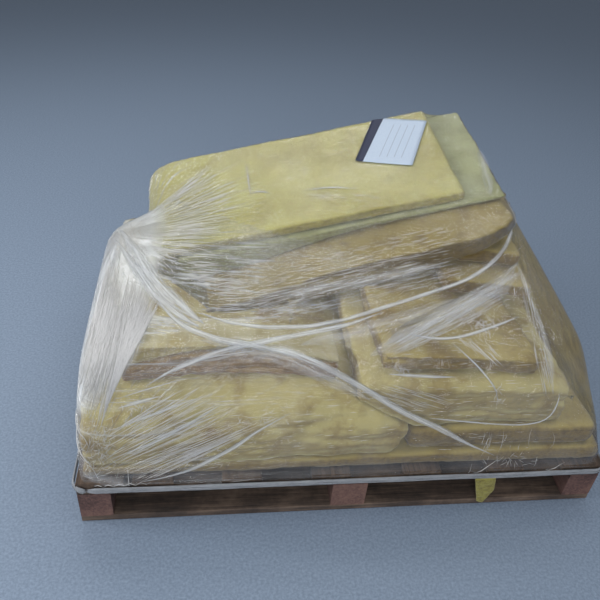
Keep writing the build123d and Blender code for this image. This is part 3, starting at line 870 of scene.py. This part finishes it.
def deck_route(rise, wander):
    """Places and outward normals round the deck's edge."""
    places, normals = [], []
    half = (rope_high.x - ROPE_THICK / 2, rope_high.y - ROPE_THICK / 2)
    for turned, start, end in ((-90, (-1, -1), (1, -1)), (0, (1, -1), (1, 1)), (90, (1, 1), (-1, 1)),
                               (180, (-1, 1), (-1, -1))):
        a = Vector((start[0] * (half[0] - CORNER), start[1] * (half[1] - CORNER), 0))
        b = Vector((end[0] * (half[0] - CORNER), end[1] * (half[1] - CORNER), 0))
        out = Vector((math.cos(math.radians(turned)), math.sin(math.radians(turned)), 0))
        for k in range(SIDE_STEPS):
            places.append(a.lerp(b, k / SIDE_STEPS) + out * CORNER)
            normals.append(out)
        for k in range(CORNER_STEPS):
            bend = math.radians(turned + 90 / CORNER_STEPS * k)
            out = Vector((math.cos(bend), math.sin(bend), 0))
            places.append(b + out * CORNER)
            normals.append(out)
    places.append(places[0].copy())
    normals.append(normals[0])
    for i, place in enumerate(places):
        sway = noise.noise(Vector((i / 9, 5 * wander, 0)))
        place.z = (rope_low.z + rope_high.z) / 2 + rise + 5 * MM * wander * sway
    return places, normals


rope = Strips()
for rise, wander, thick in STRANDS:
    rope.add(*deck_route(rise, wander), 13 * MM * thick, 5 * MM * thick, 3, 0.004)
print("rope faces", len(rope.faces))

# %% [markdown]
# Gathered film is milky white: many clear layers lie so close that light is lost between them.
# Fine lines run along it, so the pattern is drawn on the strip's own UV map. On the pleats the
# same white is also a painted highlight for the film's glints.

# %% Gathered film materials
LINES_ALONG_ACROSS = (14, 9, 1)


def gathered(name, clearest, whitest, tint="#FFFFFF", fade=0.0):
    """Film that is pulled together: white, with clear lines along it and fading sides. On the pleats
    and the glint strips its white is a painted highlight.

    The lines are set by how many there are in a metre of length and in the strip's width.
    """
    material, tree, place, output = new_material(name)
    uv = add(tree, "UVMap", uv_map="along").outputs["UV"]
    stretched = add(tree, "VectorMath", {0: uv, 1: LINES_ALONG_ACROSS}, operation="MULTIPLY").outputs[0]
    lines = add(tree, "TexNoise", {"Vector": stretched, "Scale": 1, "Detail": 4,
                                   "Roughness": 0.7}).outputs["Fac"]
    milk_and_glints = add(tree, "MapRange", {"Value": lines, "From Min": 0.35, "From Max": 0.62,
                                   "To Min": clearest, "To Max": whitest}).outputs["Result"]
    across = add(tree, "SeparateXYZ", {"Vector": uv}).outputs["Y"]
    off_middle = maths(tree, "MULTIPLY", maths(tree, "SUBTRACT", across, 0.5), 2.0)
    thin = maths(tree, "MULTIPLY", maths(tree, "POWER", maths(tree, "ABSOLUTE", off_middle), 2.0), fade)
    milk_and_glints = maths(tree, "MULTIPLY", milk_and_glints, maths(tree, "SUBTRACT", 1.0, thin))
    crinkle = clouds(tree, place, 5, 4, 0.7)
    height = maths(tree, "MULTIPLY_ADD", lines, 1.5, crinkle)
    bump = add(tree, "Bump", {"Height": height, "Strength": 0.8, "Distance": 1.5 * MM}).outputs["Normal"]
    clear = add(tree, "BsdfTransparent", {"Color": (1, 1, 1, 1)})
    white = add(tree, "BsdfPrincipled", {"Base Color": linear(tint), "Roughness": 0.22, "Normal": bump})
    body = add(tree, "MixShader", {"Fac": milk_and_glints, 1: clear.outputs[0], 2: white.outputs[0]})
    tree.links.new(body.outputs[0], output.inputs["Surface"])
    return material


pleat_and_glint_piece = pleats_and_glints.piece("film_pleats_and_painted_glints", gathered("stretch film, pleats and painted glints", 0.35, 0.9))
faint_piece = faint.piece("film_folds", gathered("stretch film, loose folds", 0.0, 0.26, "#EEF2F6", 0.8))
# The bands are gathered film, and some of them are white strips that paint glints
band_piece = bands.piece("film_bands", gathered("stretch film, gathered and painted glints", 0.1, 0.72, "#EEF2F6", 0.9))
rope_piece = rope.piece("film_deck_rope", gathered("stretch film, rope", 0.25, 0.8, "#B9BEC5"))
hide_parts("film_rope_deck")

# %% [markdown]
# ## Paper
# A sheet of office paper lies on the bundle's film. It carries a plain dark band along one long
# side and a few ruled lines, with nothing written on them. It is a grid that is laid on the film
# below, so it has the film's slight bend.

# %% Paper sheet
PAPER_CORNER = Vector((0.057, 0.227, 0.587))
PAPER_LONG = Vector((0.078, 0.186, 0.045))
PAPER_SHORT = Vector((0.132, -0.068, 0.022))
PAPER_THICK_MM = 0.4
PAPER_LIFT_MM = 1.5
PAPER_CURL_MM = 4
BAND_WIDTH = 0.021
RULE_GAP = 0.019
RULE_WIDTH = 0.0012
# The middle and the half width of the ruled part, over the page and up the page
RULED_OVER = (0.085, 0.045)
RULED_UP = (0.1, 0.075)
bundle_tree = surface_of(bundle_film)

bpy.ops.object.select_all(action="DESELECT")
bpy.ops.mesh.primitive_grid_add(x_subdivisions=14, y_subdivisions=20, size=1)
paper = bpy.context.object
paper.name = "paper"
for vertex in paper.data.vertices:
    place = PAPER_CORNER + PAPER_SHORT * (vertex.co.x + 0.5) + PAPER_LONG * (vertex.co.y + 0.5)
    near, normal, _, _ = bundle_tree.find_nearest(place)
    if normal.z < 0:
        normal.negate()
    curl = PAPER_CURL_MM * MM * (2 * vertex.co.x * vertex.co.y) ** 2
    vertex.co = near + normal * (PAPER_LIFT_MM * MM + curl)
thick = paper.modifiers.new("thickness", "SOLIDIFY")
thick.thickness = PAPER_THICK_MM * MM
apply_all(paper)

material, tree, place, output = new_material("office paper")
from_corner = add(tree, "VectorMath", {0: place, 1: PAPER_CORNER}, operation="SUBTRACT").outputs[0]
up_page = add(tree, "VectorMath", {0: from_corner, 1: PAPER_LONG.normalized()},
              operation="DOT_PRODUCT").outputs["Value"]
over_page = add(tree, "VectorMath", {0: from_corner, 1: PAPER_SHORT.normalized()},
                operation="DOT_PRODUCT").outputs["Value"]
banded = maths(tree, "LESS_THAN", over_page, BAND_WIDTH)
spacing = maths(tree, "MODULO", over_page, RULE_GAP)
ruled = maths(tree, "LESS_THAN", spacing, RULE_WIDTH)
inside = maths(tree, "MULTIPLY", maths(tree, "COMPARE", over_page, *RULED_OVER),
               maths(tree, "COMPARE", up_page, *RULED_UP))
lined = maths(tree, "MULTIPLY", ruled, inside)
fibre = clouds(tree, place, 3, 4, 0.6)
page = ramp(tree, fibre, (0.3, "#B4C4D8"), (0.7, "#C2D0E0"))
with_lines = add(tree, "MixRGB", {"Fac": lined, "Color1": page, "Color2": linear("#8D96A6")})
with_band = add(tree, "MixRGB", {"Fac": banded, "Color1": with_lines.outputs["Color"],
                                 "Color2": linear("#252C46")})
bump = add(tree, "Bump", {"Height": fibre, "Strength": 0.2, "Distance": 0.2 * MM}).outputs["Normal"]
shader = add(tree, "BsdfPrincipled", {"Base Color": with_band.outputs["Color"], "Roughness": 0.6,
                                      "Normal": bump})
tree.links.new(shader.outputs[0], output.inputs["Surface"])
finish(paper, material, "paper_sheet")

# %% [markdown]
# ## Studio
# A plain grey-blue concrete floor and soft lamps. Film shows mostly by what it reflects, so the
# lamps are long and narrow, as in a hall, and leave sharp streaks on the pleats.

# %% Floor and lamps
FLOOR_WIDTH = 14
WORLD_STRENGTH = 0.28

bpy.ops.object.select_all(action="DESELECT")
bpy.ops.mesh.primitive_plane_add(size=FLOOR_WIDTH, location=(0, 0, 0))
floor = bpy.context.object
floor.name = "floor"
floor_material, tree, place, output = new_material("concrete floor")
grit = clouds(tree, place, 6, 5, 0.7)
floor_colour = ramp(tree, grit, (0.35, "#748498"), (0.65, "#8D9EB4"))
shader = add(tree, "BsdfPrincipled", {"Base Color": floor_colour, "Roughness": 0.6})
tree.links.new(shader.outputs[0], output.inputs["Surface"])
floor.data.materials.append(floor_material)

world = bpy.data.worlds.new("studio")
world.use_nodes = True
bpy.context.scene.world = world
world.node_tree.nodes["Background"].inputs["Color"].default_value = linear("#DCE1E8")
world.node_tree.nodes["Background"].inputs["Strength"].default_value = WORLD_STRENGTH


def lamp(name, place, aim, size, watts):
    """A soft rectangular lamp that points at a place."""
    data = bpy.data.lights.new(name, "AREA")
    data.shape = "RECTANGLE"
    data.size, data.size_y = size
    data.energy = watts
    made = bpy.data.objects.new(name, data)
    bpy.context.scene.collection.objects.link(made)
    away = Vector(place) - Vector(aim)
    made.matrix_world = Matrix.Translation(place) @ away.to_track_quat("Z", "Y").to_matrix().to_4x4()


# Each lamp: its place, its aim, its width and height in metres, and its watts
lamp("hall lamp back", (-0.6, 2.2, 2.4), (0, 0, 0.4), (3.2, 0.06), 17)
lamp("hall lamp middle", (0.2, 1.0, 3.0), (0, 0, 0.4), (3.2, 0.06), 14)
lamp("hall lamp front", (0.6, -0.8, 3.0), (0, 0, 0.4), (3.2, 0.1), 15)
lamp("window left", (-3.0, -0.4, 1.8), (0, 0, 0.3), (1.6, 1.6), 56)
lamp("fill front", (-0.6, -3.4, 1.6), (0, 0, 0.3), (2.4, 1.2), 50)

bpy.context.scene.view_settings.view_transform = "Standard"
